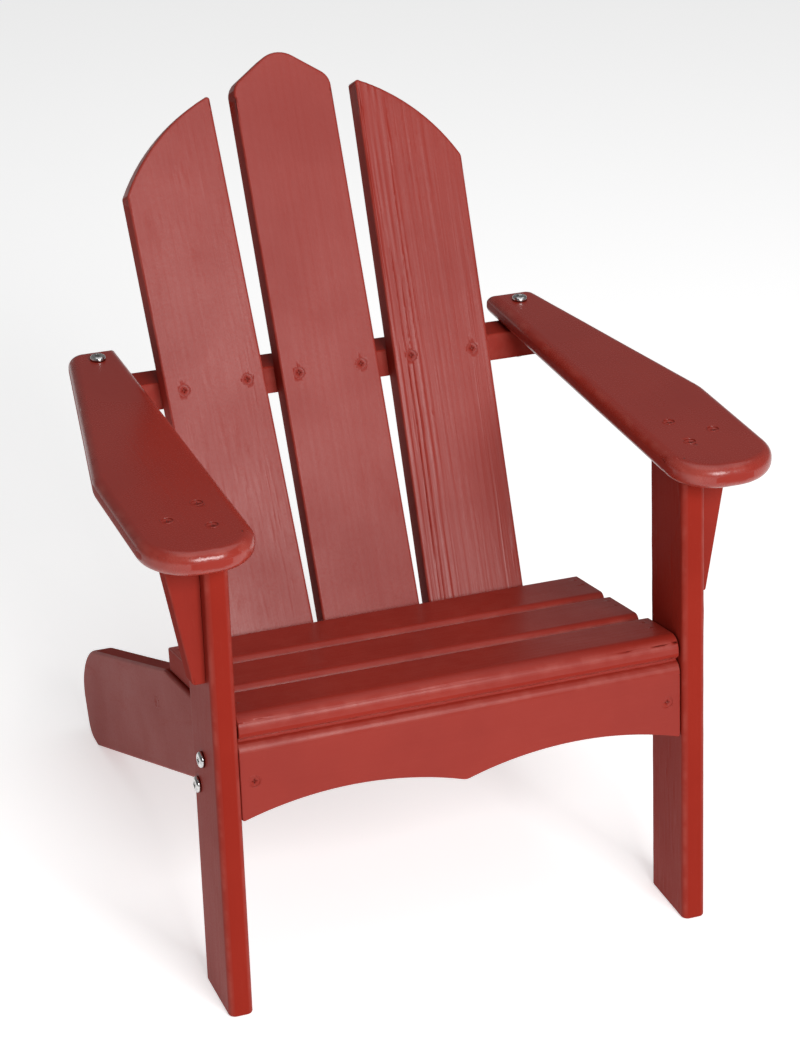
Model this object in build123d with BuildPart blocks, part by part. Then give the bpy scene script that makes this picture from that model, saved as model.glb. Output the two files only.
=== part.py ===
"""Child-size adirondack chair in painted 19 mm boards, held together by screws and machine bolts.

The chair stands on the floor at Z = 0 and its front faces -Y. +X is on the right when the chair
is seen from the front. The origin is the middle of the bounding box's bottom face.
"""

import math
import os

from build123d import *

os.makedirs("parts", exist_ok=True)

# ---- Boards ----
THICK = 19.05                 # every board
FRONT_Y = -232.13             # front edge of the front legs' soles
EASED = 2.0                   # round on the edges that a hand meets
BROKEN = 1.2                  # round on the other sawn edges
GAP = 0.3                     # play between a board and the two that it stands between

# ---- Front legs: they lean back, and their soles and tops are cut level ----
LEG_INNER_X = 177.8
LEG_OUTER_X = LEG_INNER_X + THICK
LEG_DEPTH = 60.3
LEG_LEAN = 5.67
LEG_TOP_Z = 371.5
LEG_ROUND = 5.5

# ---- Side rails: from the apron down to the floor behind ----
RAIL_INNER_X = LEG_INNER_X - THICK
RAIL_FRONT_LOW_Z = 170.1
RAIL_FRONT_HIGH_Z = 216.2
RAIL_BREAK = (214.0, 184.3)
RAIL_HEEL_START = (426.8, 0.0)
RAIL_HEEL_CORNERS = [(450.0, 0.0, 20.0), (469.5, 41.0, 35.0), (452.8, 82.4, 68.0)]
RAIL_EASED = 3.0

# ---- Apron: stands between the legs, across the rails' front ends ----
APRON_SETBACK = 4.6           # behind the legs' front faces
APRON_TOP = 219.5             # along the leg from the sole
APRON_END_LOW = 156.1
APRON_ARCH = (88.0, 169.5)
APRON_MIDDLE_LOW = 155.2
APRON_MIDDLE_ROUND = 10.0
APRON_TOP_ROUND = 9.5

# ---- Seat: three slats that run down towards the back ----
SEAT_SLOPE = 10.7
SEAT_REAR_EDGE = (212.7, 204.0)
SEAT_SLAT_WIDTH = 55.5
SEAT_PITCH = 65.4
SEAT_HALF_LENGTH = 174.0
SEAT_NOSE_REACH = 2.8         # the front slat is longer than the others by this, at each end
SEAT_ROUND = 6.5
SEAT_NOSE_ROUND = 11.5
SEAT_NOSE_UNDER_ROUND = 6.0

# ---- Back: a fan of three slats on two crossbars ----
BACK_FOOT = (235.46, 220.0)   # a point on the slats' front faces, level with u = v = 0
BACK_RECLINE = 28.44          # from upright
BACK_SLAT_WIDTH = 82.55
BACK_SIDE_OFFSET = 91.24
BACK_FAN = 1.66
BACK_LOW = -100.0
GABLE_PEAK = 435.8
GABLE_SHOULDER = 407.2
GABLE_PEAK_ROUND = 23.0
GABLE_SHOULDER_ROUND = 15.0
SIDE_TIP = 401.5
SIDE_CROWN = (2.7, 376.4)
SIDE_SHOULDER = 331.6
SIDE_TIP_ROUND = 2.6
SIDE_SHOULDER_ROUND = 7.0
BACK_SCREW_SPREAD = 26.4
BACK_SCREW_HIGH = 172.8
BACK_SCREW_LOW = -76.0

ARM_BAR_BACK = 366.9
LOW_BAR_TOP_Z = 153.5
LOW_BAR_BACK = 248.9
BAR_ROUND = 3.0

# ---- Arms ----
ARM_INNER_X = 160.5
ARM_OUTER_X = 246.3
ARM_NOSE = -2.0
ARM_KINK = 145.0
ARM_REAR = 379.0
ARM_REAR_X = 200.5
ARM_NOSE_ROUND_INNER = 36.0
ARM_NOSE_ROUND_OUTER = 40.0
ARM_KINK_ROUND = 60.0
ARM_REAR_ROUND = {-1: 14.0, 1: 10.5}    # left and right
ARM_EDGE_ROUND = 8.5

# ---- Arm brackets: tapered boards on the legs' outer faces ----
BRACKET_SETBACK = {-1: 12.0, 1: 19.0}   # from the legs' front faces, left and right
BRACKET_TOP_WIDTH = 28.6
BRACKET_LOW_WIDTH = 9.5
BRACKET_LOW = 268.0                     # along the leg from the sole

# ---- Countersunk wood screws ----
SCREW_HEAD_R = 4.3
SCREW_R = 2.0
SCREW_SINK = 0.6
SCREW_ANGLE = 82.0
SCREW_POINT = 4.0
SCREW_LONG = 38.1
SCREW_SHORT = 31.75
SCREW_RECESS_SPAN = 4.4       # the cross recess
SCREW_RECESS_WIDTH = 1.0
SCREW_RECESS_DEPTH = 1.8
COUNTERSINK_R = 4.9
PLAY = 0.1

# ---- Pan-head machine bolts, washers and nuts ----
BOLT_R = 3.175
BOLT_LENGTH = 50.8
BOLT_HEAD_R = 6.25
BOLT_HEAD_HIGH = 3.6
BOLT_HEAD_ROUND = 2.4
BOLT_END_BEVEL = 0.6
BOLT_RECESS_SPAN = 5.4        # the cross recess
BOLT_RECESS_WIDTH = 1.3
BOLT_RECESS_DEPTH = 2.4
WASHER_R = 6.35
WASHER_THICK = 1.6
NUT_FLATS = 11.1
NUT_THICK = 5.56

# ---- Finishing nails of the seat ----
NAIL_R = 0.9
NAIL_HEAD_R = 1.3
NAIL_HEAD_HIGH = 1.0
NAIL_LENGTH = 31.75
NAIL_POINT = 2.0

# ---- Places of the fasteners, in X and Y behind FRONT_Y ----
ARM_BOLT = (181.0, 357.5)
ARM_SCREWS = {
    -1: [(-187.3, 79.3), (-188.0, 41.1), (-216.0, 58.6)],
    1: [(189.7, 88.8), (189.0, 50.9), (215.1, 65.3)],
}
LEG_BOLTS = [(32.5, 199.5), (46.5, 173.5)]   # depth into the leg, along the leg
APRON_SCREW = (166.4, 187.5)                 # X, along the leg
LOW_BAR_SCREW = (235.0, 144.0)
NAIL_RUNS = (31.0, 45.0)                     # from a seat slat's front edge

SIDES = (-1, 1)
LEAN_SIN = math.sin(math.radians(LEG_LEAN))
LEAN_COS = math.cos(math.radians(LEG_LEAN))
BACK_SIN = math.sin(math.radians(BACK_RECLINE))
BACK_COS = math.cos(math.radians(BACK_RECLINE))
SEAT_SIN = math.sin(math.radians(SEAT_SLOPE))
SEAT_COS = math.cos(math.radians(SEAT_SLOPE))


# ---- Frames of reference ----
def side_plane(x):
    """A plane across X whose own x and y are the chair's Y, counted from FRONT_Y, and Z."""
    return Plane(origin=(x, FRONT_Y, 0), x_dir=(0, 1, 0), z_dir=(1, 0, 0))


def board_plane(side, inner_x):
    """The side plane at the lower-X face of a board that starts inner_x away from the middle."""
    return side_plane(inner_x if side > 0 else -inner_x - THICK)


def leg_plane(depth):
    """A plane along the legs' front faces, depth behind them; it faces forwards."""
    origin = (0, FRONT_Y + depth * LEAN_COS, -depth * LEAN_SIN)
    return Plane(origin=origin, x_dir=(1, 0, 0), z_dir=(0, -LEAN_COS, LEAN_SIN))


def leg_point(x, depth, along):
    """A point given by its depth behind the legs' front faces and its height along the legs."""
    y = FRONT_Y + depth * LEAN_COS + along * LEAN_SIN
    return (x, y, along * LEAN_COS - depth * LEAN_SIN)


def back_plane(side):
    """The front face of one back slat: its own x runs outwards and its own y up the slat."""
    fan = math.radians(BACK_FAN * side)
    origin = (BACK_SIDE_OFFSET * side, FRONT_Y + BACK_FOOT[0], BACK_FOOT[1])
    across = (math.cos(fan), -math.sin(fan) * BACK_SIN, -math.sin(fan) * BACK_COS)
    return Plane(origin=origin, x_dir=across, z_dir=(0, -BACK_COS, BACK_SIN))


def back_face_y(z):
    """Y of the slats' rear faces at the height z."""
    face = BACK_FOOT[0] + (z - BACK_FOOT[1]) * BACK_SIN / BACK_COS
    return face + THICK / BACK_COS


def seat_plane(index):
    """The side plane at a seat slat's lower-X end, with its x along the slope, to the rear.

    Its origin is the slat's upper front edge. Slat 0 is the rearmost.
    """
    run = SEAT_SLAT_WIDTH + index * SEAT_PITCH
    y = FRONT_Y + SEAT_REAR_EDGE[0] - run * SEAT_COS
    z = SEAT_REAR_EDGE[1] + run * SEAT_SIN
    x_dir = (0, SEAT_COS, -SEAT_SIN)
    return Plane(origin=(-SEAT_HALF_LENGTH, y, z), x_dir=x_dir, z_dir=(1, 0, 0))


# ---- Places of the fasteners ----
def arm_bolt_places():
    spots = [(ARM_BOLT[0] * side, FRONT_Y + ARM_BOLT[1], LEG_TOP_Z + THICK) for side in SIDES]
    return [Plane(origin=spot).location for spot in spots]


def leg_bolt_places(side):
    places = []
    for depth, along in LEG_BOLTS:
        origin = leg_point(LEG_OUTER_X * side, depth, along)
        places.append(Plane(origin=origin, x_dir=(0, LEAN_SIN, LEAN_COS), z_dir=(side, 0, 0)).location)
    return places


def arm_screw_places(side):
    top = LEG_TOP_Z + THICK
    return [Plane(origin=(x, FRONT_Y + y, top)).location for x, y in ARM_SCREWS[side]]


def apron_screw_place(side):
    plane = leg_plane(APRON_SETBACK)
    origin = plane.from_local_coords(Vector(APRON_SCREW[0] * side, APRON_SCREW[1], 0))
    return Plane(origin=origin, x_dir=plane.x_dir, z_dir=plane.z_dir).location


def back_screw_places(side, along):
    plane = back_plane(side)
    places = []
    for across in (-BACK_SCREW_SPREAD, BACK_SCREW_SPREAD):
        origin = plane.from_local_coords(Vector(across, along, 0))
        places.append(Plane(origin=origin, x_dir=plane.x_dir, z_dir=plane.z_dir).location)
    return places


def low_bar_screw_place(side):
    origin = (LEG_INNER_X * side, FRONT_Y + LOW_BAR_SCREW[0], LOW_BAR_SCREW[1])
    return Plane(origin=origin, x_dir=(0, 1, 0), z_dir=(side, 0, 0)).location


def nail_places(index, side):
    plane = seat_plane(index)
    reach = SEAT_HALF_LENGTH + side * (RAIL_INNER_X + THICK / 2)
    places = []
    for run in NAIL_RUNS:
        origin = plane.from_local_coords(Vector(run, 0, reach))
        places.append(Plane(origin=origin, x_dir=(1, 0, 0), z_dir=(0, SEAT_SIN, SEAT_COS)).location)
    return places


# ---- Holes: each is made in the piece whose block calls it ----
def screw_holes(places, length):
    with Locations(places):
        CounterSinkHole(SCREW_R + PLAY, COUNTERSINK_R, length + SCREW_SINK, SCREW_ANGLE)


def bolt_holes(places):
    with Locations(places):
        Hole(BOLT_R + PLAY, BOLT_LENGTH)


def nail_holes(places):
    with Locations(places):
        CounterBoreHole(NAIL_R + PLAY / 2, NAIL_HEAD_R + PLAY / 2, NAIL_HEAD_HIGH, NAIL_LENGTH)


def round_corner(sketch, corner, radius):
    """Round the sketch corner that lies nearest to the given point."""
    fillet(sketch.vertices().sort_by_distance(corner)[0], radius)


# ---- Front legs ----
def make_leg(side):
    lean = LEG_TOP_Z * LEAN_SIN / LEAN_COS
    sole = LEG_DEPTH / LEAN_COS
    with BuildPart() as leg:
        with BuildSketch(board_plane(side, LEG_INNER_X)):
            Polygon((0, 0), (sole, 0), (sole + lean, LEG_TOP_Z), (lean, LEG_TOP_Z), align=None)
        extrude(amount=THICK)
        fillet(leg.edges().filter_by(Axis((0, 0, 0), (0, LEAN_SIN, LEAN_COS))), LEG_ROUND)
        rims = leg.edges().group_by(Axis.Z)
        fillet(rims[0] + rims[-1], BROKEN)
        bolt_holes(leg_bolt_places(side))
        screw_holes(arm_screw_places(side), SCREW_LONG)
    return leg


# ---- Side rails ----
def rail_front_y(z):
    """Y of the rails' front ends, which stand against the apron's rear face."""
    return (APRON_SETBACK + THICK + z * LEAN_SIN) / LEAN_COS


def make_rail(side):
    with BuildPart() as rail:
        with BuildSketch(board_plane(side, RAIL_INNER_X)) as profile:
            with BuildLine():
                heel = [(y, z) for y, z, radius in RAIL_HEEL_CORNERS]
                front = [(rail_front_y(z), z) for z in (RAIL_FRONT_HIGH_Z, RAIL_FRONT_LOW_Z)]
                Polyline(*front, RAIL_HEEL_START, *heel, RAIL_BREAK, close=True)
            make_face()
            for y, z, radius in RAIL_HEEL_CORNERS:
                round_corner(profile, (y, z), radius)
        extrude(amount=THICK)
        outlines = rail.edges().group_by(Axis.X)
        front_end = FRONT_Y + rail_front_y(RAIL_FRONT_HIGH_Z)
        long_edges = [edge for edge in outlines[0] + outlines[-1] if edge.center().Y > front_end]
        fillet(long_edges, RAIL_EASED)
        bolt_holes(leg_bolt_places(side))
        screw_holes([apron_screw_place(side)], SCREW_LONG)
        screw_holes([low_bar_screw_place(side)], SCREW_LONG)
        for index in range(3):
            nail_holes(nail_places(index, side))
    return rail


left_front_leg = make_leg(-1)
left_front_leg.part.label = "left_front_leg"
export_step(left_front_leg.part, "parts/left_front_leg.step")

right_front_leg = make_leg(1)
right_front_leg.part.label = "right_front_leg"
export_step(right_front_leg.part, "parts/right_front_leg.step")

left_rail = make_rail(-1)
left_rail.part.label = "left_rail"
export_step(left_rail.part, "parts/left_rail.step")

right_rail = make_rail(1)
right_rail.part.label = "right_rail"
export_step(right_rail.part, "parts/right_rail.step")

# ---- Front apron: its lower edge is two shallow arches with a soft point between them ----
with BuildPart() as front_apron:
    with BuildSketch(leg_plane(APRON_SETBACK)) as apron_face:
        apron_half = LEG_INNER_X - GAP
        arch_x, arch_top = APRON_ARCH
        with BuildLine():
            ThreePointArc((-apron_half, APRON_END_LOW), (-arch_x, arch_top), (0, APRON_MIDDLE_LOW))
            ThreePointArc((0, APRON_MIDDLE_LOW), (arch_x, arch_top), (apron_half, APRON_END_LOW))
            Polyline(
                (apron_half, APRON_END_LOW),
                (apron_half, APRON_TOP),
                (-apron_half, APRON_TOP),
                (-apron_half, APRON_END_LOW),
            )
        make_face()
        round_corner(apron_face, (0, APRON_MIDDLE_LOW), APRON_MIDDLE_ROUND)
        for end_x in (-apron_half, apron_half):
            round_corner(apron_face, (end_x, APRON_END_LOW), EASED)
    extrude(amount=-THICK)
    apron_rims = front_apron.edges().filter_by(Axis.X).sort_by(Axis.Z)[-2:]
    fillet(apron_rims.sort_by(Axis.Y)[0], APRON_TOP_ROUND)
    fillet(apron_rims.sort_by(Axis.Y)[1], BROKEN)
    front_face = front_apron.faces().sort_by(Axis((0, 0, 0), (0, -LEAN_COS, LEAN_SIN)))[-1]
    fillet(front_face.edges().filter_by(GeomType.CIRCLE), BROKEN)
    screw_holes([apron_screw_place(side) for side in SIDES], SCREW_LONG)
front_apron.part.label = "front_apron"
export_step(front_apron.part, "parts/front_apron.step")


# ---- Seat slats ----
def make_seat_slat(index, upper_round, under_round, reach):
    with BuildPart() as slat:
        with BuildSketch(seat_plane(index).offset(-reach)) as section:
            Rectangle(SEAT_SLAT_WIDTH, THICK, align=(Align.MIN, Align.MAX))
            round_corner(section, (0, 0), upper_round)
            round_corner(section, (0, -THICK), under_round)
            round_corner(section, (SEAT_SLAT_WIDTH, 0), EASED)
        extrude(amount=2 * SEAT_HALF_LENGTH + 2 * reach)
        ends = slat.faces().sort_by(Axis.X)
        fillet(ends[0].edges() + ends[-1].edges(), BROKEN)
        for side in SIDES:
            nail_holes(nail_places(index, side))
    return slat


rear_seat_slat = make_seat_slat(0, SEAT_ROUND, EASED, 0)
rear_seat_slat.part.label = "rear_seat_slat"
export_step(rear_seat_slat.part, "parts/rear_seat_slat.step")

middle_seat_slat = make_seat_slat(1, SEAT_ROUND, EASED, 0)
middle_seat_slat.part.label = "middle_seat_slat"
export_step(middle_seat_slat.part, "parts/middle_seat_slat.step")

front_seat_slat = make_seat_slat(2, SEAT_NOSE_ROUND, SEAT_NOSE_UNDER_ROUND, SEAT_NOSE_REACH)
front_seat_slat.part.label = "front_seat_slat"
export_step(front_seat_slat.part, "parts/front_seat_slat.step")

# ---- Crossbars: each lies flat, and its front edge is bevelled to fit the reclined slats ----
def make_crossbar(top_z, back_y, half_length):
    low_z = top_z - THICK
    low_y = back_face_y(low_z)
    high_y = back_face_y(top_z)
    with BuildPart() as bar:
        with BuildSketch(side_plane(-half_length)):
            Polygon((low_y, low_z), (back_y, low_z), (back_y, top_z), (high_y, top_z), align=None)
        extrude(amount=2 * half_length)
        fillet(bar.edges().filter_by(Axis.X).sort_by(Axis.Y)[-2:], BAR_ROUND)
        ends = bar.faces().sort_by(Axis.X)
        fillet(ends[0].edges() + ends[-1].edges(), BROKEN)
    return bar


with BuildPart() as arm_crossbar:
    add(make_crossbar(LEG_TOP_Z, ARM_BAR_BACK, LEG_OUTER_X).part)
    bolt_holes(arm_bolt_places())
    for slat_side in (-1, 0, 1):
        screw_holes(back_screw_places(slat_side, BACK_SCREW_HIGH), SCREW_SHORT)
arm_crossbar.part.label = "arm_crossbar"
export_step(arm_crossbar.part, "parts/arm_crossbar.step")

with BuildPart() as lower_crossbar:
    add(make_crossbar(LOW_BAR_TOP_Z, LOW_BAR_BACK, RAIL_INNER_X).part)
    for slat_side in (-1, 0, 1):
        screw_holes(back_screw_places(slat_side, BACK_SCREW_LOW), SCREW_SHORT)
    screw_holes([low_bar_screw_place(side) for side in SIDES], SCREW_LONG)
lower_crossbar.part.label = "lower_crossbar"
export_step(lower_crossbar.part, "parts/lower_crossbar.step")

# ---- Back slats ----
HALF_SLAT = BACK_SLAT_WIDTH / 2


def finish_back_slat(slat, side):
    """Ease the edges and make the screw holes of the slat whose block calls this."""
    broad = slat.faces().sort_by(Axis((0, 0, 0), (0, -BACK_COS, BACK_SIN)))
    fillet(broad[-1].edges(), EASED)
    fillet(broad[0].edges(), BROKEN)
    screw_holes(back_screw_places(side, BACK_SCREW_HIGH), SCREW_SHORT)
    screw_holes(back_screw_places(side, BACK_SCREW_LOW), SCREW_SHORT)


def make_side_slat(side):
    """The top runs down outwards in one shallow curve, from a tip at the inner edge."""
    inner = -HALF_SLAT * side
    outer = HALF_SLAT * side
    with BuildPart() as slat:
        with BuildSketch(back_plane(side)) as face:
            with BuildLine():
                crown = (SIDE_CROWN[0] * side, SIDE_CROWN[1])
                ThreePointArc((inner, SIDE_TIP), crown, (outer, SIDE_SHOULDER))
                Polyline((outer, SIDE_SHOULDER), (outer, BACK_LOW), (inner, BACK_LOW), (inner, SIDE_TIP))
            make_face()
            round_corner(face, (inner, SIDE_TIP), SIDE_TIP_ROUND)
            round_corner(face, (outer, SIDE_SHOULDER), SIDE_SHOULDER_ROUND)
        extrude(amount=-THICK)
        finish_back_slat(slat, side)
    return slat


left_back_slat = make_side_slat(-1)
left_back_slat.part.label = "left_back_slat"
export_step(left_back_slat.part, "parts/left_back_slat.step")

right_back_slat = make_side_slat(1)
right_back_slat.part.label = "right_back_slat"
export_step(right_back_slat.part, "parts/right_back_slat.step")

with BuildPart() as centre_back_slat:
    with BuildSketch(back_plane(0)) as gable:
        with BuildLine():
            Polyline(
                (-HALF_SLAT, BACK_LOW),
                (HALF_SLAT, BACK_LOW),
                (HALF_SLAT, GABLE_SHOULDER),
                (0, GABLE_PEAK),
                (-HALF_SLAT, GABLE_SHOULDER),
                close=True,
            )
        make_face()
        round_corner(gable, (0, GABLE_PEAK), GABLE_PEAK_ROUND)
        for side in SIDES:
            round_corner(gable, (HALF_SLAT * side, GABLE_SHOULDER), GABLE_SHOULDER_ROUND)
    extrude(amount=-THICK)
    finish_back_slat(centre_back_slat, 0)
centre_back_slat.part.label = "centre_back_slat"
export_step(centre_back_slat.part, "parts/centre_back_slat.step")


# ---- Arms ----
def make_arm(side):
    inner = ARM_INNER_X * side
    outer = ARM_OUTER_X * side
    rear_x = ARM_REAR_X * side
    floor_plane = Plane(origin=(0, FRONT_Y, LEG_TOP_Z))
    with BuildPart() as arm:
        with BuildSketch(floor_plane) as outline:
            with BuildLine():
                Polyline(
                    (inner, ARM_NOSE),
                    (outer, ARM_NOSE),
                    (outer, ARM_KINK),
                    (rear_x, ARM_REAR),
                    (inner, ARM_REAR),
                    close=True,
                )
            make_face()
            round_corner(outline, (inner, ARM_NOSE), ARM_NOSE_ROUND_INNER)
            round_corner(outline, (outer, ARM_NOSE), ARM_NOSE_ROUND_OUTER)
            round_corner(outline, (outer, ARM_KINK), ARM_KINK_ROUND)
            round_corner(outline, (rear_x, ARM_REAR), ARM_REAR_ROUND[side])
        extrude(amount=THICK)
        rims = arm.edges().group_by(Axis.Z)
        fillet(rims[0] + rims[-1], ARM_EDGE_ROUND)
        bolt_holes(arm_bolt_places())
        screw_holes(arm_screw_places(side), SCREW_LONG)
    return arm


left_arm = make_arm(-1)
left_arm.part.label = "left_arm"
export_step(left_arm.part, "parts/left_arm.step")

right_arm = make_arm(1)
right_arm.part.label = "right_arm"
export_step(right_arm.part, "parts/right_arm.step")


# ---- Arm brackets ----
def make_bracket(side):
    """A board across the leg, its outer edge tapered, and its top cut level under the arm."""
    inner = LEG_OUTER_X * side
    top = (LEG_TOP_Z + THICK) / LEAN_COS
    spread = (BRACKET_TOP_WIDTH - BRACKET_LOW_WIDTH) / (LEG_TOP_Z / LEAN_COS - BRACKET_LOW)
    low_x = inner + BRACKET_LOW_WIDTH * side
    top_x = low_x + (top - BRACKET_LOW) * spread * side
    with BuildPart() as bracket:
        with BuildSketch(leg_plane(BRACKET_SETBACK[side])):
            Polygon((inner, BRACKET_LOW), (low_x, BRACKET_LOW), (top_x, top), (inner, top), align=None)
        extrude(amount=-THICK)
        split(bisect_by=Plane.XY.offset(LEG_TOP_Z), keep=Keep.BOTTOM)
        faces = bracket.faces().sort_by(Axis.X)
        slanted = faces[-1] if side > 0 else faces[0]
        fillet(slanted.edges().filter_by(GeomType.LINE).sort_by(SortBy.LENGTH)[-2:], EASED)
        foot = bracket.faces().sort_by(Axis.Z)[0]
        fillet(foot.edges(), BROKEN)
        screw_holes(arm_screw_places(side), SCREW_LONG)
    return bracket


left_arm_bracket = make_bracket(-1)
left_arm_bracket.part.label = "left_arm_bracket"
export_step(left_arm_bracket.part, "parts/left_arm_bracket.step")

right_arm_bracket = make_bracket(1)
right_arm_bracket.part.label = "right_arm_bracket"
export_step(right_arm_bracket.part, "parts/right_arm_bracket.step")


# ---- Wood screws: the head's top lies at its own Z = -SCREW_SINK and the point looks down ----
def make_screw(length):
    cone = (SCREW_HEAD_R - SCREW_R) / math.tan(math.radians(SCREW_ANGLE / 2))
    top = -SCREW_SINK
    tip = top - length
    with BuildPart() as screw:
        with BuildSketch(Plane.XZ):
            with BuildLine():
                Polyline(
                    (0, top),
                    (SCREW_HEAD_R, top),
                    (SCREW_R, top - cone),
                    (SCREW_R, tip + SCREW_POINT),
                    (0, tip),
                    close=True,
                )
            make_face()
        revolve(axis=Axis.Z)
        with BuildSketch(Plane.XY.offset(top)):
            Rectangle(SCREW_RECESS_SPAN, SCREW_RECESS_WIDTH)
            Rectangle(SCREW_RECESS_WIDTH, SCREW_RECESS_SPAN)
        extrude(amount=-SCREW_RECESS_DEPTH, mode=Mode.SUBTRACT)
    return screw


long_screw = make_screw(SCREW_LONG)
short_screw = make_screw(SCREW_SHORT)

with BuildPart() as arm_screws:
    with Locations(arm_screw_places(-1) + arm_screw_places(1)):
        add(long_screw.part)
arm_screws.part.label = "arm_screws"
export_step(arm_screws.part, "parts/arm_screws.step")

with BuildPart() as apron_screws:
    with Locations([apron_screw_place(side) for side in SIDES]):
        add(long_screw.part)
apron_screws.part.label = "apron_screws"
export_step(apron_screws.part, "parts/apron_screws.step")

with BuildPart() as lower_crossbar_screws:
    with Locations([low_bar_screw_place(side) for side in SIDES]):
        add(long_screw.part)
lower_crossbar_screws.part.label = "lower_crossbar_screws"
export_step(lower_crossbar_screws.part, "parts/lower_crossbar_screws.step")

with BuildPart() as upper_back_screws:
    for slat_side in (-1, 0, 1):
        with Locations(back_screw_places(slat_side, BACK_SCREW_HIGH)):
            add(short_screw.part)
upper_back_screws.part.label = "upper_back_screws"
export_step(upper_back_screws.part, "parts/upper_back_screws.step")

with BuildPart() as lower_back_screws:
    for slat_side in (-1, 0, 1):
        with Locations(back_screw_places(slat_side, BACK_SCREW_LOW)):
            add(short_screw.part)
lower_back_screws.part.label = "lower_back_screws"
export_step(lower_back_screws.part, "parts/lower_back_screws.step")

# ---- Bolts, washers and nuts: the bolt's head sits on its own Z = 0 ----
with BuildPart() as bolt:
    with BuildSketch(Plane.XZ) as bolt_half:
        with BuildLine():
            Polyline(
                (0, BOLT_HEAD_HIGH),
                (0, -BOLT_LENGTH),
                (BOLT_R - BOLT_END_BEVEL, -BOLT_LENGTH),
                (BOLT_R, BOLT_END_BEVEL - BOLT_LENGTH),
                (BOLT_R, 0),
                (BOLT_HEAD_R, 0),
                (BOLT_HEAD_R, BOLT_HEAD_HIGH),
                close=True,
            )
        make_face()
        round_corner(bolt_half, (BOLT_HEAD_R, BOLT_HEAD_HIGH), BOLT_HEAD_ROUND)
    revolve(axis=Axis.Z)
    with BuildSketch(Plane.XY.offset(BOLT_HEAD_HIGH)):
        Rectangle(BOLT_RECESS_SPAN, BOLT_RECESS_WIDTH)
        Rectangle(BOLT_RECESS_WIDTH, BOLT_RECESS_SPAN)
    extrude(amount=-BOLT_RECESS_DEPTH, mode=Mode.SUBTRACT)

with BuildPart() as washer:
    with BuildSketch(Plane.XY.offset(-2 * THICK)):
        Circle(WASHER_R)
        Circle(BOLT_R + PLAY, mode=Mode.SUBTRACT)
    extrude(amount=-WASHER_THICK)

with BuildPart() as nut:
    with BuildSketch(Plane.XY.offset(-2 * THICK - WASHER_THICK)):
        RegularPolygon(NUT_FLATS / 2, 6, major_radius=False)
        Circle(BOLT_R + PLAY / 2, mode=Mode.SUBTRACT)
    extrude(amount=-NUT_THICK)

both_leg_bolt_places = leg_bolt_places(-1) + leg_bolt_places(1)

with BuildPart() as arm_bolts:
    with Locations(arm_bolt_places()):
        add(bolt.part)
arm_bolts.part.label = "arm_bolts"
export_step(arm_bolts.part, "parts/arm_bolts.step")

with BuildPart() as arm_bolt_washers:
    with Locations(arm_bolt_places()):
        add(washer.part)
arm_bolt_washers.part.label = "arm_bolt_washers"
export_step(arm_bolt_washers.part, "parts/arm_bolt_washers.step")

with BuildPart() as arm_bolt_nuts:
    with Locations(arm_bolt_places()):
        add(nut.part)
arm_bolt_nuts.part.label = "arm_bolt_nuts"
export_step(arm_bolt_nuts.part, "parts/arm_bolt_nuts.step")

with BuildPart() as leg_bolts:
    with Locations(both_leg_bolt_places):
        add(bolt.part)
leg_bolts.part.label = "leg_bolts"
export_step(leg_bolts.part, "parts/leg_bolts.step")

with BuildPart() as leg_bolt_washers:
    with Locations(both_leg_bolt_places):
        add(washer.part)
leg_bolt_washers.part.label = "leg_bolt_washers"
export_step(leg_bolt_washers.part, "parts/leg_bolt_washers.step")

with BuildPart() as leg_bolt_nuts:
    with Locations(both_leg_bolt_places):
        add(nut.part)
leg_bolt_nuts.part.label = "leg_bolt_nuts"
export_step(leg_bolt_nuts.part, "parts/leg_bolt_nuts.step")

# ---- Finishing nails: three seat slats, two nails at each end, set flush ----
with BuildPart() as nail:
    with BuildSketch(Plane.XZ):
        with BuildLine():
            Polyline(
                (0, 0),
                (NAIL_HEAD_R, 0),
                (NAIL_HEAD_R, -NAIL_HEAD_HIGH),
                (NAIL_R, -NAIL_HEAD_HIGH),
                (NAIL_R, NAIL_POINT - NAIL_LENGTH),
                (0, -NAIL_LENGTH),
                close=True,
            )
        make_face()
    revolve(axis=Axis.Z)

with BuildPart() as seat_nails:
    for slat_index in range(3):
        with Locations(nail_places(slat_index, -1) + nail_places(slat_index, 1)):
            add(nail.part)
seat_nails.part.label = "seat_nails"
export_step(seat_nails.part, "parts/seat_nails.step")
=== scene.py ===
"""The looks of the child-size adirondack chair: painted boards and their grain, screws, bolts."""

import math

import bmesh
import bpy
from mathutils import Matrix, Vector, noise


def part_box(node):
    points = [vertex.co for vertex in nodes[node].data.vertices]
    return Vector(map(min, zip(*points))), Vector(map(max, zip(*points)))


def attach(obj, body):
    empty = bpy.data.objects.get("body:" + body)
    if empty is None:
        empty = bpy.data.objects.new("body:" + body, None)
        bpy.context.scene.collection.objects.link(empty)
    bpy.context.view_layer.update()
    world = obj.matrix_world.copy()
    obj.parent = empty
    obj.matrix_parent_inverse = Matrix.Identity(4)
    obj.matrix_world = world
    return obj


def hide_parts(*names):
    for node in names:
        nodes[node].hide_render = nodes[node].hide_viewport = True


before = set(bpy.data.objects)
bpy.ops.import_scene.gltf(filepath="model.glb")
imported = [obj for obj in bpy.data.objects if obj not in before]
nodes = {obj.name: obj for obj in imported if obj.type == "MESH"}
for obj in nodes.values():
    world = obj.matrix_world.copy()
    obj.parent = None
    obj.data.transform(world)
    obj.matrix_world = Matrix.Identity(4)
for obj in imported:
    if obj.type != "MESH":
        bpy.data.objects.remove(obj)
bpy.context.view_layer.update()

MM = 0.001

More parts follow.
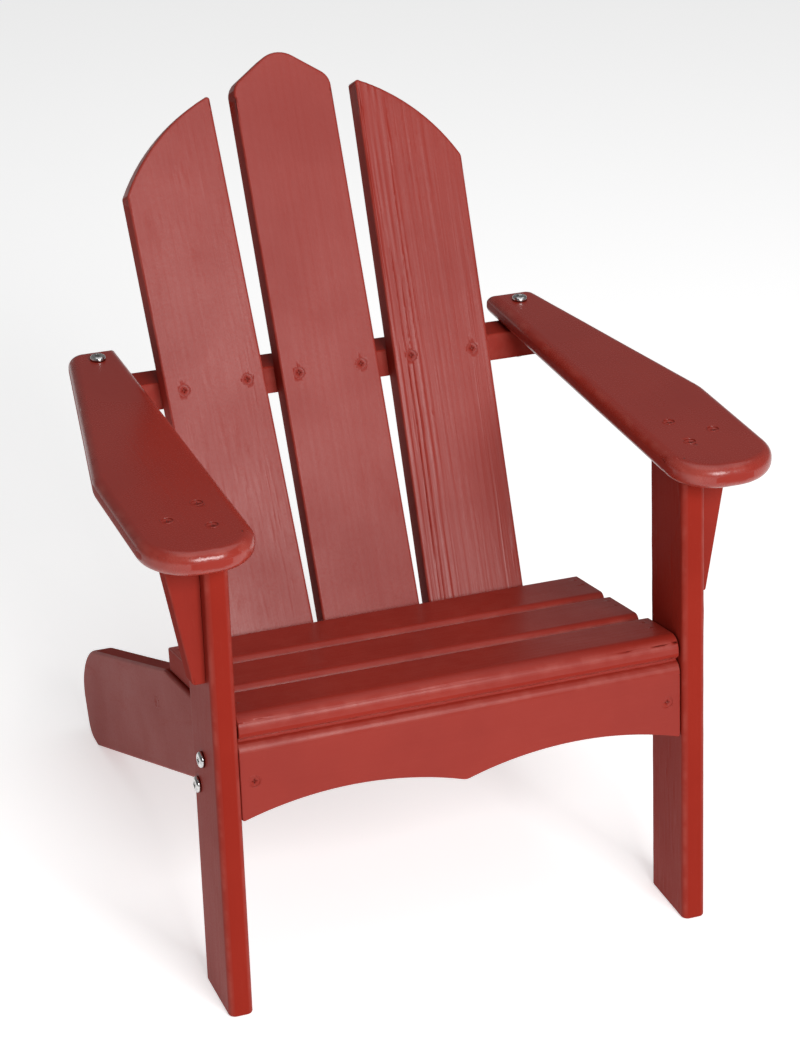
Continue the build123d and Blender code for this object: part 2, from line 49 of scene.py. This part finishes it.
# how the boards lie: the same angles as in the CAD
LEG_LEAN = math.radians(5.67)          # the front legs, backwards
BACK_RECLINE = math.radians(28.44)     # the back, from upright
BACK_FAN = math.radians(1.66)          # each outer back slat, away from the middle one
SEAT_SLOPE = math.radians(10.7)        # the seat, down towards the back
RAIL_SLOPE = math.atan2(170.1, 386.1)  # the rails' long straight edges, down towards the back

UP = Vector((0, 0, 1))
ACROSS = Vector((1, 0, 0))
REARWARD = Vector((0, 1, 0))
LEG_UP = Vector((0, math.sin(LEG_LEAN), math.cos(LEG_LEAN)))
LEG_FRONT = Vector((0, -math.cos(LEG_LEAN), math.sin(LEG_LEAN)))
SEAT_NORMAL = Vector((0, math.sin(SEAT_SLOPE), math.cos(SEAT_SLOPE)))
BACK_UP = Vector((0, math.sin(BACK_RECLINE), math.cos(BACK_RECLINE)))
BACK_NORMAL = Vector((0, -math.cos(BACK_RECLINE), math.sin(BACK_RECLINE)))
RAIL_DOWN = Vector((0, math.cos(RAIL_SLOPE), -math.sin(RAIL_SLOPE)))

# mesh settings, in metres
WELD = 1e-6                            # CAD vertices closer than this are one
GRID_ALONG = 0.006                     # the fine grid's step with the grain
GRID_ACROSS = 0.0012                   # and across it
BOARD_CREASE = math.radians(40)        # edges sharper than this stay sharp
FASTENER_CREASE = math.radians(38)


def fanned(side):
    """The direction up a back slat: the outer two lean apart."""
    fan = BACK_FAN * side
    return (ACROSS * math.sin(fan) + BACK_UP * math.cos(fan)).normalized()


# ---------------------------------------------------------------- material helpers
class Nodes:
    """Builds one node material, with a short call for each kind of node."""

    def __init__(self, name):
        self.material = bpy.data.materials.new(name)
        self.material.use_nodes = True
        self.tree = self.material.node_tree
        self.tree.nodes.clear()
        self.output = self.tree.nodes.new("ShaderNodeOutputMaterial")
        self.shader = self.add("ShaderNodeBsdfPrincipled")
        self.link(self.shader.outputs[0], self.output.inputs[0])

    def add(self, kind, **settings):
        node = self.tree.nodes.new(kind)
        for key, value in settings.items():
            setattr(node, key, value)
        return node

    def link(self, source, target):
        self.tree.links.new(source, target)

    def put(self, target, value):
        if isinstance(value, bpy.types.NodeSocket):
            self.link(value, target)
        else:
            target.default_value = value

    def math(self, operation, a, b=0.0, clamp=False):
        node = self.add("ShaderNodeMath", operation=operation, use_clamp=clamp)
        self.put(node.inputs[0], a)
        self.put(node.inputs[1], b)
        return node.outputs[0]

    def attribute(self, name, output):
        return self.add("ShaderNodeAttribute", attribute_name=name).outputs[output]

    def stretched(self, vector, scale):
        node = self.add("ShaderNodeMapping")
        self.link(vector, node.inputs["Vector"])
        node.inputs["Scale"].default_value = scale
        return node.outputs[0]

    def noise(self, vector, scale, detail=3.0, roughness=0.5, distortion=0.0):
        node = self.add("ShaderNodeTexNoise")
        self.link(vector, node.inputs["Vector"])
        node.inputs["Scale"].default_value = scale
        node.inputs["Detail"].default_value = detail
        node.inputs["Roughness"].default_value = roughness
        node.inputs["Distortion"].default_value = distortion
        return node.outputs["Fac"]

    def ramp(self, value, low, high, out_low=0.0, out_high=1.0):
        node = self.add("ShaderNodeMapRange", interpolation_type="SMOOTHSTEP")
        self.link(value, node.inputs["Value"])
        limits = {"From Min": low, "From Max": high, "To Min": out_low, "To Max": out_high}
        for key, number in limits.items():
            node.inputs[key].default_value = number
        return node.outputs["Result"]

    def mix(self, factor, a, b):
        node = self.add("ShaderNodeMix", data_type="RGBA")
        self.put(node.inputs["Factor"], factor)
        self.put(node.inputs["A"], a)
        self.put(node.inputs["B"], b)
        return node.outputs["Result"]

    def bump(self, height, distance, strength=1.0, normal=None):
        node = self.add("ShaderNodeBump")
        node.inputs["Strength"].default_value = strength
        node.inputs["Distance"].default_value = distance
        self.link(height, node.inputs["Height"])
        if normal is not None:
            self.link(normal, node.inputs["Normal"])
        return node.outputs[0]


# colours, linear
PAINT = (0.258, 0.020, 0.0115, 1)
PAINT_DEEP = (0.205, 0.0135, 0.008, 1)
# a lighter red: worn paint, and also the painted highlight on the rounded edges
PAINT_WEAR_AND_EDGE_HIGHLIGHT = (0.46, 0.125, 0.098, 1)
# the dark of the painted shade in joints and hollows
PAINT_CREVICE_SHADE = (0.085, 0.014, 0.010, 1)
ZINC_DARK = (0.42, 0.42, 0.43, 1)
ZINC_BRIGHT = (0.74, 0.73, 0.71, 1)
# the dark of the painted shade in the plate's corners
ZINC_CORNER_SHADE = (0.030, 0.026, 0.024, 1)

PAINT_IOR = 1.46
PAINT_CREVICE = 0.0035                 # how far the painted shade reaches out of a joint, in metres
STEEL_CREVICE = 0.0022
SAWN_SHEEN = 0.35                      # the share of a board's sheen that its sawn faces keep


def make_paint(name, grain, gloss, sheen):
    """Satin brick-red paint over softwood.

    grain is how strongly the wood's lines show through, gloss lowers the roughness, sheen is how
    bright its reflections are. The material reads the attributes "wood", "edge" and "sawn", which
    board() explains.
    """
    m = Nodes(name)
    wood = m.attribute("wood", "Vector")
    edge = m.attribute("edge", "Fac")
    sawn = m.attribute("sawn", "Fac")

    # growth rings, fibres and brush marks, all drawn out along the grain
    rings = m.noise(m.stretched(wood, (1.0, 0.018, 0.4)), 240.0, detail=2.5, roughness=0.55)
    fibre = m.noise(m.stretched(wood, (1.0, 0.035, 1.0)), 1100.0, detail=3.0, roughness=0.65)
    brush = m.noise(m.stretched(wood, (1.0, 0.012, 1.0)), 520.0, detail=2.0, roughness=0.5)
    blotch = m.noise(wood, 9.0, detail=4.0, roughness=0.55)
    peel = m.noise(wood, 260.0, detail=2.0, roughness=0.5)
    speck = m.noise(wood, 700.0, detail=2.0, roughness=0.6)

    base = m.mix(m.ramp(blotch, 0.38, 0.68, 0.0, 0.35), PAINT, PAINT_DEEP)
    base = m.mix(m.ramp(rings, 0.50, 0.70, 0.0, 0.22 * grain), base, PAINT_DEEP)
    base = m.mix(m.ramp(fibre, 0.58, 0.75, 0.0, 0.16 * grain), base, PAINT_WEAR_AND_EDGE_HIGHLIGHT)
    # the rounded edges are lightened in patches: partly wear, partly a painted highlight where
    # light catches them
    edge_wear_and_highlight_places = m.ramp(m.noise(wood, 70.0, detail=4.0), 0.40, 0.66, 0.04, 0.20)
    base = m.mix(m.math("MULTIPLY", edge, edge_wear_and_highlight_places), base, PAINT_WEAR_AND_EDGE_HIGHLIGHT)
    base = m.mix(m.ramp(speck, 0.70, 0.80, 0.0, 0.22), base, PAINT_WEAR_AND_EDGE_HIGHLIGHT)
    along_grain = m.stretched(wood, (1.0, 0.25, 1.0))
    scuff = m.noise(along_grain, 55.0, detail=5.0, roughness=0.7, distortion=0.6)
    base = m.mix(m.ramp(scuff, 0.70, 0.78, 0.0, 0.22), base, PAINT_WEAR_AND_EDGE_HIGHLIGHT)
    # painted shade: the paint is darkened towards a deep red-brown in joints and hollows, wherever
    # the ambient occlusion finds them
    crevice = m.add("ShaderNodeAmbientOcclusion", samples=6)
    crevice.inputs["Distance"].default_value = PAINT_CREVICE
    base = m.mix(m.ramp(crevice.outputs["AO"], 0.20, 0.65, 0.30, 0.0), base, PAINT_CREVICE_SHADE)
    m.link(base, m.shader.inputs["Base Color"])

    rough = m.ramp(blotch, 0.30, 0.75, 0.36 - gloss, 0.46 - gloss)
    rough = m.math("ADD", rough, m.ramp(scuff, 0.55, 0.80, 0.0, 0.10))
    rough = m.math("ADD", rough, m.ramp(sawn, 0.2, 0.9, 0.0, 0.30))
    rough = m.math("ADD", rough, m.ramp(speck, 0.45, 0.75, -0.02, 0.05), clamp=True)
    m.link(rough, m.shader.inputs["Roughness"])
    m.shader.inputs["IOR"].default_value = PAINT_IOR
    # sawn faces soak up the paint, so they are rougher and mirror less than the planed ones
    m.link(
        m.ramp(sawn, 0.2, 0.9, sheen, sheen * SAWN_SHEEN),
        m.shader.inputs["Specular IOR Level"],
    )

    normal = None
    for height, distance, strength in (
        (rings, 0.00040 * grain, 0.8),
        (fibre, 0.00012 * grain, 0.8),
        (brush, 0.00025 * grain, 0.6),
        (peel, 0.00010, 0.5),
        (speck, 0.00003, 0.5),
    ):
        normal = m.bump(height, distance, strength, normal)
    m.link(normal, m.shader.inputs["Normal"])
    return m.material


def make_steel(name):
    """Bright cloudy zinc plate, with painted shade in its corners."""
    m = Nodes(name)
    place = m.add("ShaderNodeTexCoord").outputs["Object"]
    cloud = m.noise(place, 380.0, detail=4.0)
    fine = m.noise(place, 1900.0, detail=2.0)
    plate = m.mix(m.ramp(cloud, 0.3, 0.7), ZINC_DARK, ZINC_BRIGHT)
    # painted shade: the plate is darkened almost to black in its corners, wherever the ambient
    # occlusion finds them
    corner = m.add("ShaderNodeAmbientOcclusion", samples=8)
    corner.inputs["Distance"].default_value = STEEL_CREVICE
    plate = m.mix(m.ramp(corner.outputs["AO"], 0.30, 0.90, 0.95, 0.0), plate, ZINC_CORNER_SHADE)
    m.link(plate, m.shader.inputs["Base Color"])
    m.shader.inputs["Metallic"].default_value = 1.0
    m.link(m.ramp(cloud, 0.3, 0.7, 0.10, 0.24), m.shader.inputs["Roughness"])
    m.link(m.bump(fine, 0.00003, 0.5), m.shader.inputs["Normal"])
    return m.material


# ---------------------------------------------------------------- boards
def welded(mesh):
    """A bmesh of a CAD mesh, with the vertices that its faces share made one."""
    bm = bmesh.new()
    bm.from_mesh(mesh)
    bmesh.ops.remove_doubles(bm, verts=bm.verts, dist=WELD)
    return bm


def regrid(mesh, along, across):
    """Cut a CAD mesh into a fine grid that runs with and across the wood's grain."""
    bm = welded(mesh)
    for direction, step in ((along, GRID_ALONG), (across, GRID_ACROSS)):
        reach = [v.co.dot(direction) for v in bm.verts]
        low, high = min(reach), max(reach)
        count = max(2, round((high - low) / step))
        for i in range(1, count):
            at = low + (high - low) * i / count
            bmesh.ops.bisect_plane(
                bm, geom=bm.verts[:] + bm.edges[:] + bm.faces[:], dist=1e-7,
                plane_co=direction * at, plane_no=direction,
            )
    bmesh.ops.triangulate(bm, faces=[f for f in bm.faces if len(f.verts) > 4])
    return bm


def hash_of(name):
    """A number from 0 to 1 that is always the same for a name."""
    total = 0
    for i, letter in enumerate(name):
        total = (total * 31 + ord(letter) * (i + 7)) % 9973
    return total / 9973


# Each relief takes a place across (u) and along (w) the grain, in metres, and a shift that is the
# board's own, and gives the height of the surface there, in metres. The numbers beside u and w
# are how many noise cells there are to a metre.
def faint_grain(u, w, shift):
    """Barely raised lines, for boards whose paint has filled the wood."""
    lines = noise.noise(Vector((u * 300, w * 4, 0)) + shift * 40)
    return 0.00004 * lines


def fine_grain(u, w, shift):
    """Short fine ticks that follow the grain."""
    lines = noise.noise(Vector((u * 330, w * 46, 0)) + shift * 40)
    lines += 0.6 * noise.noise(Vector((u * 640, w * 90, 0)) + shift * 90)
    patch = 0.5 + 0.8 * noise.noise(Vector((u * 18, w * 5, 0)) + shift * 11)
    return 0.00050 * max(0.0, lines - 0.12) * max(0.0, patch)


def open_grain(u, w, shift):
    """Long sharp ridges left by the weathered summer wood, boldest at the board's inner edge."""
    sway = 0.0035 * noise.noise(Vector((u * 8, w * 4.5, 0)) + shift * 7)
    sway += 0.0006 * noise.noise(Vector((u * 40, w * 24, 0)) + shift * 3)
    ridges = 1.0 - abs(noise.noise(Vector(((u + sway) * 165, w * 0.7, 0)) + shift * 40)) * 8.0
    fine = 1.0 - abs(noise.noise(Vector(((u + sway) * 330, w * 2.2, 0)) + shift * 21)) * 4.5
    bold = min(1.0, max(0.0, (-0.010 - u) * 90))
    broken = 0.5 + 0.9 * noise.noise(Vector((u * 60, w * 9, 0)) + shift * 15)
    broken = min(1.0, max(0.0, broken))
    whole = max(bold * 0.8, broken)
    high = 0.00075 * max(0.0, ridges) * (0.14 + 0.86 * bold) * whole
    return high + 0.00012 * max(0.0, fine) * broken


ROUNDED_BELOW = 0.985                  # a face less square to the board than this is rounded
ROUNDED_GAIN = 6
SAWN_ABOVE = 0.97                      # a face more square than this is planed or sawn
SANDED = 0.00010                       # how far sanding has worn the surface in, in metres


def add_attribute(mesh, name, values=None):
    """One number for each vertex, or 0 everywhere."""
    attribute = mesh.attributes.new(name, "FLOAT", "POINT")
    if values:
        attribute.data.foreach_set("value", values)


def add_wood(mesh, places):
    """The attribute that the paint's noises are laid out on, a point for each vertex."""
    wood = mesh.attributes.new("wood", "FLOAT_VECTOR", "POINT")
    wood.data.foreach_set("vector", [c for place in places for c in place])


def show(name, mesh, material):
    """A smooth-shaded object of a finished mesh, in the scene."""
    mesh.polygons.foreach_set("use_smooth", [True] * len(mesh.polygons))
    mesh.materials.append(material)
    piece = bpy.data.objects.new(name, mesh)
    bpy.context.scene.collection.objects.link(piece)
    return piece


def board(node, along, relief, paint):
    """Rebuild one board in a fine mesh, with raised grain and hand-sanded edges.

    The attribute "wood" holds each point's place in the board's own directions, in metres and
    moved by a different amount for each board. "edge" is 1 on the rounded edges, and "sawn" is 1
    on the narrow faces and the ends, which the saw left and the plane didn't reach.
    """
    source = nodes[node].data
    low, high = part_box(node)
    broad = broad_normal(source, along)
    across = along.cross(broad).normalized()
    bm = regrid(source, along, across)
    bm.normal_update()
    bm.faces.index_update()

    # how squarely each face lies on the board's broad side, and on any of its sides
    square = {}
    for face in bm.faces:
        flat = abs(face.normal.dot(broad))
        sides = (flat, abs(face.normal.dot(across)), abs(face.normal.dot(along)))
        square[face.index] = (flat, max(sides))

    origin = (low + high) / 2
    offsets = [v.co - origin for v in bm.verts]
    places = [(p.dot(across), p.dot(along), p.dot(broad)) for p in offsets]
    normals = [v.normal.copy() for v in bm.verts]
    seed = hash_of(node)
    shift = Vector((seed * 3.1, seed * 7.7, seed * 1.9))
    edges = []
    sawn = []
    for v, normal, (u, w, d) in zip(bm.verts, normals, places):
        around = [square[face.index] for face in v.link_faces]
        flattest = max(flat for flat, _ in around)
        squarest = max(side for _, side in around)
        edges.append(min(1.0, max(0.0, (ROUNDED_BELOW - squarest) * ROUNDED_GAIN)))
        sawn.append(1.0 - flattest if squarest > SAWN_ABOVE else 0.0)
        height = relief(u, w, shift) * abs(normal.dot(broad))
        sanded = noise.noise(Vector((u * 30, w * 12, d * 30)) + shift * 5)
        v.co += normal * (height + SANDED * sanded - SANDED)

    mesh = bpy.data.meshes.new(node + "_board")
    bm.to_mesh(mesh)
    bm.free()
    add_wood(mesh, [Vector(place) + shift for place in places])
    add_attribute(mesh, "edge", edges)
    add_attribute(mesh, "sawn", sawn)
    piece = show(node + "_painted", mesh, paint)
    mesh.set_sharp_from_angle(angle=BOARD_CREASE)
    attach(piece, "root")
    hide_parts(node)


END_GRAIN = 0.1                        # a face that leans along the grain more than this is an end
OUTWARD = Vector((-0.3, -1.0, 0.6))


def broad_normal(mesh, along):
    """The direction that most of a board's surface faces, square to its grain.

    Of the two ways it can point, it takes the one more towards the front, the top and the left.
    """
    tally = {}
    for polygon in mesh.polygons:
        n = polygon.normal
        if abs(n.dot(along)) > END_GRAIN:
            continue
        key = tuple(round(abs(c), 1) for c in n)
        tally.setdefault(key, [0.0, n.copy()])
        tally[key][0] += polygon.area
    best = max(tally.values(), key=lambda entry: entry[0])[1]
    if best.dot(OUTWARD) < 0:
        best = -best
    return best.normalized()


# grain, gloss and sheen of each paint
smooth_paint = make_paint("brick_red_paint", 0.25, -0.08, 0.10)
seat_paint = make_paint("brick_red_paint_polished_by_use", 0.25, 0.03, 0.26)
back_paint = make_paint("brick_red_paint_on_the_back", 0.12, -0.04, 0.36)
fine_paint = make_paint("brick_red_paint_on_fine_grain", 0.30, -0.04, 0.42)
ridged_paint = make_paint("brick_red_paint_on_open_grain", 0.55, -0.02, 0.36)
arm_paint = make_paint("brick_red_paint_handled", 0.25, 0.13, 0.55)
steel = make_steel("zinc_plate")

# the direction of each board's grain, its relief and its paint
BOARDS = {
    "left_front_leg": (LEG_UP, faint_grain, smooth_paint),
    "right_front_leg": (LEG_UP, fine_grain, smooth_paint),
    "left_rail": (RAIL_DOWN, faint_grain, smooth_paint),
    "right_rail": (RAIL_DOWN, faint_grain, smooth_paint),
    "front_apron": (ACROSS, faint_grain, seat_paint),
    "rear_seat_slat": (ACROSS, faint_grain, seat_paint),
    "middle_seat_slat": (ACROSS, faint_grain, seat_paint),
    "front_seat_slat": (ACROSS, faint_grain, seat_paint),
    "left_back_slat": (fanned(-1), fine_grain, fine_paint),
    "centre_back_slat": (BACK_UP, faint_grain, back_paint),
    "right_back_slat": (fanned(1), open_grain, ridged_paint),
    "arm_crossbar": (ACROSS, faint_grain, smooth_paint),
    "lower_crossbar": (ACROSS, faint_grain, smooth_paint),
    "left_arm": (REARWARD, faint_grain, arm_paint),
    "right_arm": (REARWARD, faint_grain, arm_paint),
    "left_arm_bracket": (LEG_UP, faint_grain, smooth_paint),
    "right_arm_bracket": (LEG_UP, faint_grain, smooth_paint),
}

for name, (along, relief, paint) in BOARDS.items():
    board(name, along, relief, paint)


# ---------------------------------------------------------------- screws, nails and bolts
def islands(bm):
    """The separate solids of a mesh, as lists of vertices."""
    found = []
    seen = set()
    for start in bm.verts:
        if start in seen:
            continue
        group, queue = [], [start]
        seen.add(start)
        while queue:
            vert = queue.pop()
            group.append(vert)
            for edge in vert.link_edges:
                other = edge.other_vert(vert)
                if other not in seen:
                    seen.add(other)
                    queue.append(other)
        found.append(group)
    return found


def head_of(group, axis):
    """The middle of a fastener's head, on its outermost plane, and two directions across it."""
    first = axis.orthogonal().normalized()
    second = axis.cross(first)
    middle = axis * max(v.co.dot(axis) for v in group)
    for direction in (first, second):
        reach = [v.co.dot(direction) for v in group]
        middle += direction * (min(reach) + max(reach)) / 2
    return middle, first, second


def outward(first, second, i, count):
    """The i-th of count directions around a fastener."""
    a = math.tau * i / count
    return first * math.cos(a) + second * math.sin(a)


def ring(bm, middle, first, second, radius, thick, high, seed):
    """A slightly uneven round bead of paint."""
    axis = first.cross(second)
    around, section = 48, 10
    rows = []
    for i in range(around):
        out = outward(first, second, i, around)
        swell = 1.0 + 0.45 * noise.noise(out * 1.7 + Vector((seed, seed * 2, 0)))
        row = []
        for j in range(section):
            b = math.tau * j / section
            offset = out * math.cos(b) * thick * swell + axis * math.sin(b) * high * swell
            row.append(bm.verts.new(middle + out * radius + offset))
        rows.append(row)
    for i in range(around):
        row, following = rows[i], rows[(i + 1) % around]
        for j in range(section):
            k = (j + 1) % section
            bm.faces.new((row[j], following[j], following[k], row[k]))


# the plug of filler over a screw head: radius and height above the head, in mm, from the middle
FILLED = ((0.3, 0.36), (0.7, 0.42), (1.1, 0.55), (4.6, 0.58), (4.85, 0.45), (4.4, 0.02))


def filler(bm, middle, first, second):
    """A round plug of filler over a screw head, with a dimple in its middle."""
    axis = first.cross(second)
    around = 32
    rows = []
    for radius, high in FILLED:
        row = []
        for i in range(around):
            out = outward(first, second, i, around)
            row.append(bm.verts.new(middle + out * radius * MM + axis * high * MM))
        rows.append(row)
    bm.faces.new(rows[0])
    for inner, outer in zip(rows, rows[1:]):
        for i in range(around):
            k = (i + 1) % around
            bm.faces.new((inner[i], outer[i], outer[k], inner[k]))
    bm.faces.new(reversed(rows[-1]))


def fastener(node, axes, material, lip):
    """Rebuild a group of fasteners from the CAD's, with what the paint has left on each.

    axes holds the outward directions that the heads may have; each takes the one that suits it.
    lip is FILLED for a plug of filler, the measures of a bead of paint around the head, or None.
    """
    bm = welded(nodes[node].data)
    groups = islands(bm)
    for number, group in enumerate(groups):
        centre = sum((v.co for v in group), Vector()) / len(group)
        axis = max(axes, key=lambda a: a.x * centre.x if len(axes) > 1 else 0)
        middle, first, second = head_of(group, axis)
        if lip == FILLED:
            filler(bm, middle, first, second)
        elif lip:
            radius, thick, high, lift = lip
            seed = number * 3.7 + hash_of(node)
            ring(bm, middle + axis * lift, first, second, radius, thick, high, seed)
    bmesh.ops.recalc_face_normals(bm, faces=bm.faces)
    mesh = bpy.data.meshes.new(node + "_fine")
    bm.to_mesh(mesh)
    add_wood(mesh, [v.co for v in bm.verts])
    add_attribute(mesh, "edge")
    bm.free()
    piece = show(node + "_made", mesh, material)
    mesh.set_sharp_from_angle(angle=FASTENER_CREASE)
    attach(piece, "root")
    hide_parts(node)


SIDEWAYS = (ACROSS, -ACROSS)

# beads of paint: radius of the ring, half width, half height, and how far above the head
SCREW_LIP = (4.62 * MM, 0.44 * MM, 0.30 * MM, 0.22 * MM)
ARM_SCREW_LIP = (4.75 * MM, 0.55 * MM, 0.42 * MM, 0.38 * MM)

# the ways the heads may face, the material, its slot, and what the paint has left on the heads
FASTENERS = {
    "arm_screws": ((UP,), arm_paint, "painted_steel", ARM_SCREW_LIP),
    "apron_screws": ((LEG_FRONT,), seat_paint, "painted_steel", SCREW_LIP),
    "lower_crossbar_screws": (SIDEWAYS, smooth_paint, "painted_steel", FILLED),
    "upper_back_screws": ((BACK_NORMAL,), back_paint, "painted_steel", SCREW_LIP),
    "lower_back_screws": ((BACK_NORMAL,), back_paint, "painted_steel", SCREW_LIP),
    "seat_nails": ((SEAT_NORMAL,), smooth_paint, "painted_steel", None),
    "arm_bolts": ((UP,), steel, "plated_steel", None),
    "arm_bolt_washers": ((UP,), steel, "plated_steel", None),
    "arm_bolt_nuts": ((UP,), steel, "plated_steel", None),
    "leg_bolts": (SIDEWAYS, steel, "plated_steel", None),
    "leg_bolt_washers": (SIDEWAYS, steel, "plated_steel", None),
    "leg_bolt_nuts": (SIDEWAYS, steel, "plated_steel", None),
}

for name, (axes, material, slot, lip) in FASTENERS.items():
    fastener(name, axes, material, lip)


SEAM_RADIUS = 3.3 * MM
SEAM_SWAY = 0.25 * MM
SEAM_INSET = 0.6 * MM                  # from each end of the front seat slat
SEAM_BEHIND_NOSE = 7.3 * MM
SEAM_ABOVE_APRON = 0.2 * MM


def seam_of_paint():
    """The lumpy line of paint that has run into the seam under the front seat slat's nose."""
    low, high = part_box("front_seat_slat")
    start, end = low.x + SEAM_INSET, high.x - SEAM_INSET
    nose_y = low.y + SEAM_BEHIND_NOSE
    nose_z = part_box("front_apron")[1].z + SEAM_ABOVE_APRON
    bm = bmesh.new()
    count, section = 420, 14
    rows = []
    for i in range(count + 1):
        x = start + (end - start) * i / count
        swell = 1.0 + 0.10 * noise.noise(Vector((x * 90, 3.1, 0)))
        swell += 0.07 * noise.noise(Vector((x * 380, 9.7, 0)))
        radius = SEAM_RADIUS * swell
        sway = SEAM_SWAY * noise.noise(Vector((x * 40, 5.5, 0)))
        rows.append([
            bm.verts.new((x, nose_y + sway + radius * math.cos(a), nose_z + radius * math.sin(a)))
            for a in (math.tau * j / section for j in range(section))
        ])
    for row, following in zip(rows, rows[1:]):
        for j in range(section):
            k = (j + 1) % section
            bm.faces.new((row[j], following[j], following[k], row[k]))
    bm.faces.new(rows[0])
    bm.faces.new(reversed(rows[-1]))
    bmesh.ops.recalc_face_normals(bm, faces=bm.faces)
    mesh = bpy.data.meshes.new("seam_of_paint")
    bm.to_mesh(mesh)
    add_wood(mesh, [v.co.zxy for v in bm.verts])
    bm.free()
    add_attribute(mesh, "edge")
    piece = show("seam_of_paint", mesh, seat_paint)
    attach(piece, "root")


seam_of_paint()


# ---------------------------------------------------------------- floor, light and camera
FLOOR_HALF_SIZE = 6.0
FLOOR_Z = -0.0004                      # just under the feet
FLOOR_GLOW = 0.52                      # keeps it near white and its shadows pale
FRONT_WATTS = 78
OVERHEAD_WATTS = 17
WORLD_STRENGTH = 0.21


def make_floor():
    """The plain pale floor, which glows a little."""
    bm = bmesh.new()
    bmesh.ops.create_grid(bm, x_segments=2, y_segments=2, size=FLOOR_HALF_SIZE)
    mesh = bpy.data.meshes.new("floor")
    bm.to_mesh(mesh)
    bm.free()
    floor = bpy.data.objects.new("floor", mesh)
    floor.location.z = FLOOR_Z
    bpy.context.scene.collection.objects.link(floor)
    m = Nodes("pale_floor")
    m.shader.inputs["Base Color"].default_value = (0.84, 0.84, 0.84, 1)
    m.shader.inputs["Emission Color"].default_value = (1, 1, 1, 1)
    m.shader.inputs["Emission Strength"].default_value = FLOOR_GLOW
    m.shader.inputs["Roughness"].default_value = 0.8
    m.shader.inputs["Specular IOR Level"].default_value = 0.1
    mesh.materials.append(m.material)


def area_light(name, place, target, size, power):
    """A soft white rectangular light, turned towards its target."""
    light = bpy.data.lights.new(name, "AREA")
    light.shape = "RECTANGLE"
    light.size, light.size_y = size
    light.energy = power
    lamp = bpy.data.objects.new(name, light)
    lamp.location = place
    aim = Vector(target) - Vector(place)
    lamp.rotation_euler = aim.to_track_quat("-Z", "Y").to_euler()
    bpy.context.scene.collection.objects.link(lamp)


make_floor()
area_light("overhead", (0.3, -0.1, 2.4), (0, 0, 0.2), (2.2, 2.2), OVERHEAD_WATTS)
area_light("front", (0.25, -2.7, 1.75), (0, 0, 0.25), (1.5, 1.1), FRONT_WATTS)

world = bpy.data.worlds.new("studio")
world.use_nodes = True
background = world.node_tree.nodes["Background"]
background.inputs["Color"].default_value = (1.0, 1.0, 1.0, 1)
background.inputs["Strength"].default_value = WORLD_STRENGTH
bpy.context.scene.world = world
bpy.context.scene.view_settings.view_transform = "Standard"

# the camera, solved from the corners of the chair in the photograph
CAMERA_PLACE = Vector((-0.7662, -2.06077, 1.3404))
CAMERA_RIGHT = Vector((0.93379, -0.35782, 0.00213))
CAMERA_UP = Vector((0.15376, 0.40662, 0.90057))
FOCAL_LENGTH = 106.757                 # in mm, on a sensor 36 mm wide
SHIFT = (0.00136, -0.00428)
camera_data = bpy.data.cameras.new("camera")
camera_data.sensor_width = 36
camera_data.lens = FOCAL_LENGTH
camera_data.shift_x, camera_data.shift_y = SHIFT
camera = bpy.data.objects.new("camera", camera_data)
backward = CAMERA_RIGHT.cross(CAMERA_UP).normalized()
upright = backward.cross(CAMERA_RIGHT).normalized()
turn = Matrix((CAMERA_RIGHT.normalized(), upright, backward)).transposed()
camera.matrix_world = Matrix.Translation(CAMERA_PLACE) @ turn.to_4x4()
bpy.context.scene.collection.objects.link(camera)
bpy.context.scene.camera = camera

bpy.context.view_layer.update()
